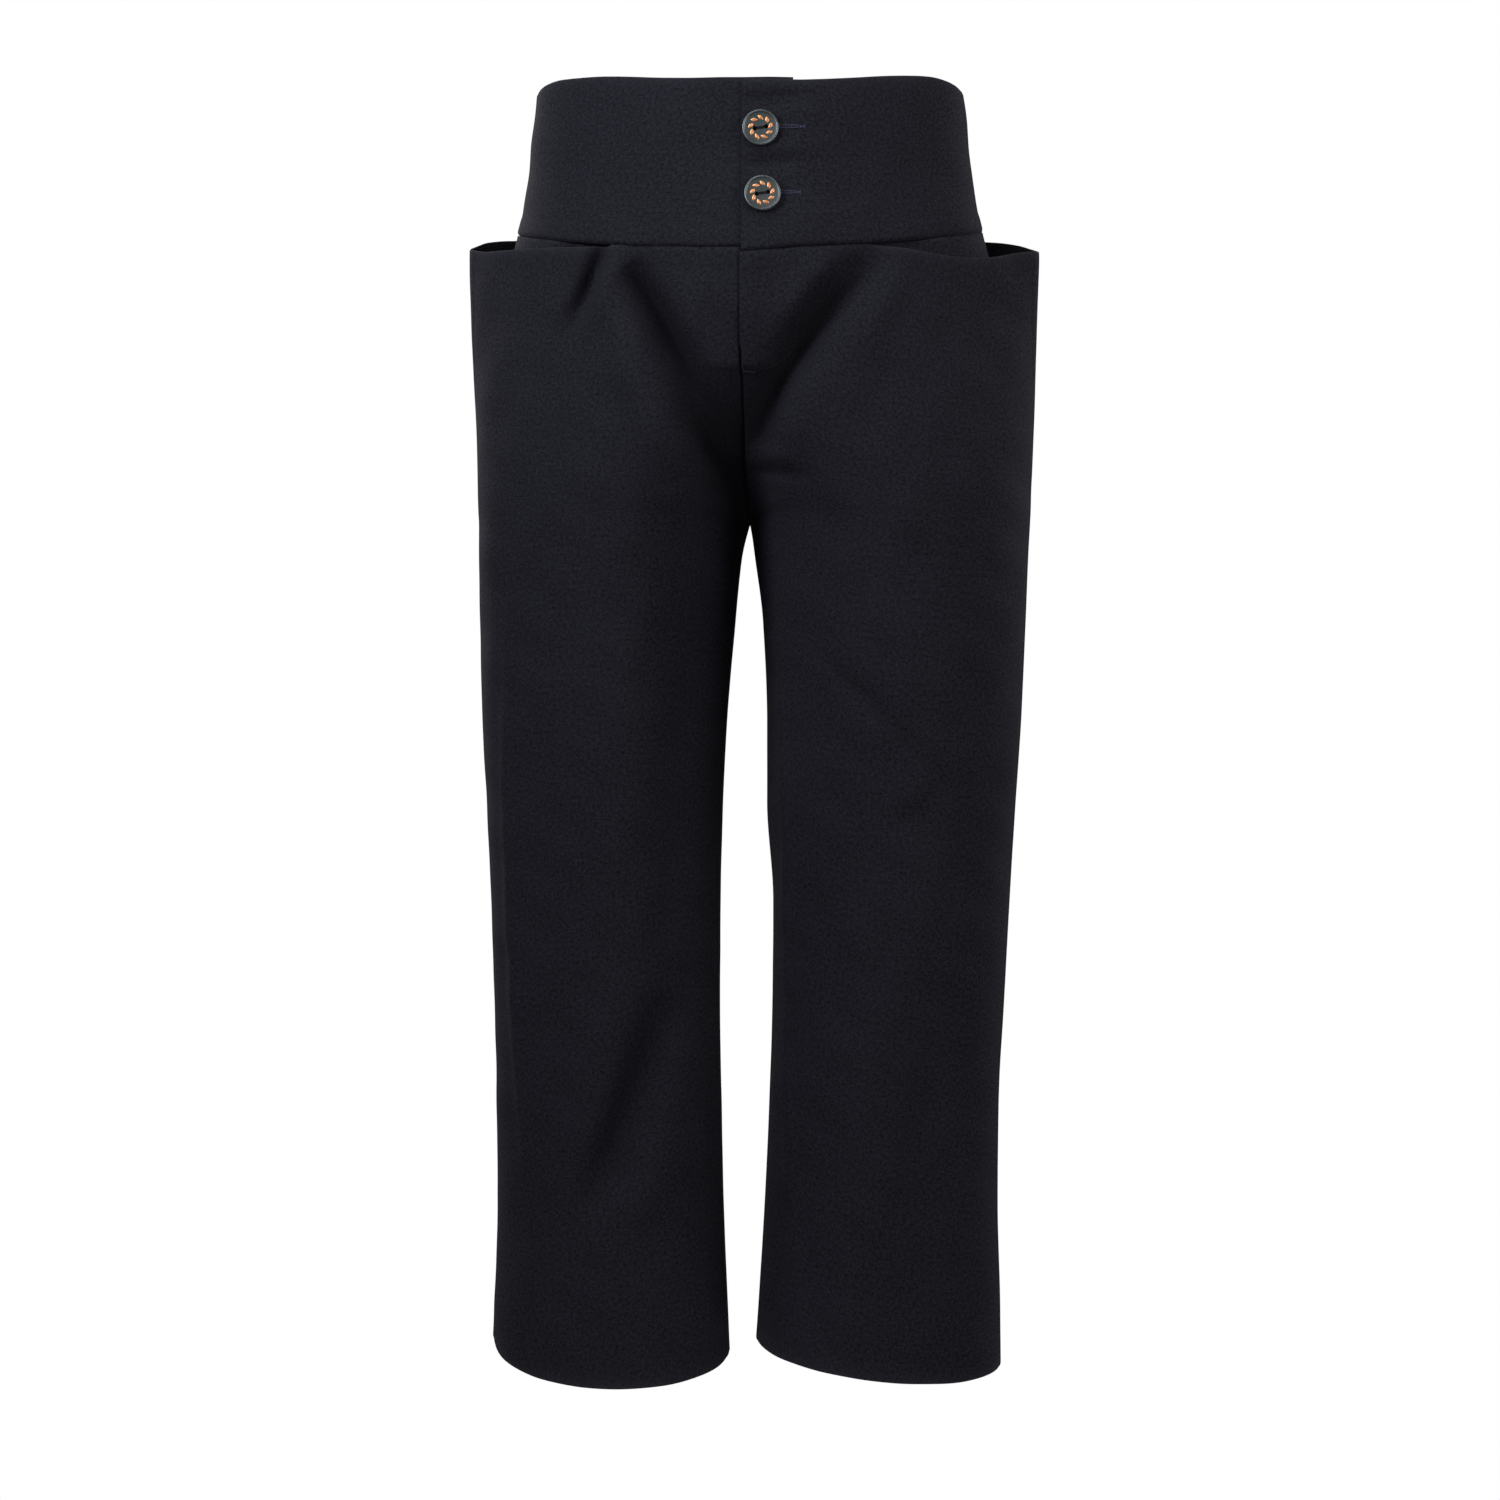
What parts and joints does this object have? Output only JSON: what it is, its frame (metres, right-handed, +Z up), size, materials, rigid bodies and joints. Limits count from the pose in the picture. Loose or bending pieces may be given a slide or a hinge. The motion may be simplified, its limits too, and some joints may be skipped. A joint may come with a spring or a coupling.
{
  "type": "dress trousers",
  "caption": "Worn-form cropped straight-leg dress trousers: wide contoured waistband with a buttoned overlap, hip pouch pockets standing open, two open legs.",
  "frame": {"origin": "middle of the waistband's top edge, where a wearer's waist holds the trousers up", "axes": "+Z up the body, +X to the wearer's left, -Y to the front"},
  "size_m": [0.3709, 0.2368, 0.8339],
  "materials": {
    "navy_twill": "matt cotton-like twill",
    "button": "slate lacquer with a bright rim and copper relief"
  },
  "bodies": {
    "root": {"front_left": "navy_twill", "front_right": "navy_twill", "back_left": "navy_twill", "back_right": "navy_twill", "pocket_left": "navy_twill", "pocket_right": "navy_twill", "waistband_front_left": "navy_twill", "waistband_front_right": "navy_twill", "waistband_back": "navy_twill", "button_top": "button", "button_bottom": "button"}
  },
  "joints": []
}
